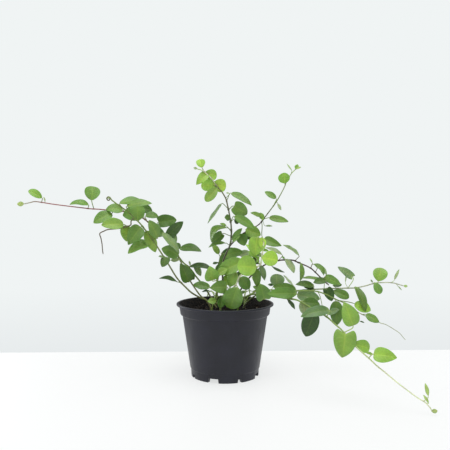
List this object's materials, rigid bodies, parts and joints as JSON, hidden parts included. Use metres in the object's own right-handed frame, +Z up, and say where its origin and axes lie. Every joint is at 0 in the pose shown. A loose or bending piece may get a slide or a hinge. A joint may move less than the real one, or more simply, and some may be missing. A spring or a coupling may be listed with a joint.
{
  "type": "potted periwinkle",
  "caption": "Trailing periwinkle with long leafy stems arching and hanging from a tapered black nursery pot filled with peat.",
  "frame": {"origin": "middle of the pot's underside, on the surface that the pot stands on, on the pot's axis", "axes": "+Z up along the pot's axis, +X to the right and along the plant's widest spread, -Y toward the side that the picture was taken from"},
  "size_m": [0.519, 0.2752, 0.288],
  "materials": {
    "pot_plastic": "satin",
    "peat": "matte",
    "leaf_green": "satin",
    "young_leaf": "satin"
  },
  "bodies": {
    "root": {"pot": "pot_plastic", "soil": "peat", "stem_left_low": "leaf_green", "stem_left_far": "leaf_green", "stem_left_mid": "leaf_green", "stem_crown": "leaf_green", "stem_centre": "leaf_green", "stem_front": "young_leaf", "stem_low": "young_leaf", "stem_right_high": "leaf_green", "stem_right_far": "leaf_green", "stem_right_mid": "leaf_green", "stem_trailing": "leaf_green", "stem_back_left": "leaf_green", "stem_back_right": "leaf_green", "stem_back_high": "leaf_green"}
  },
  "joints": []
}
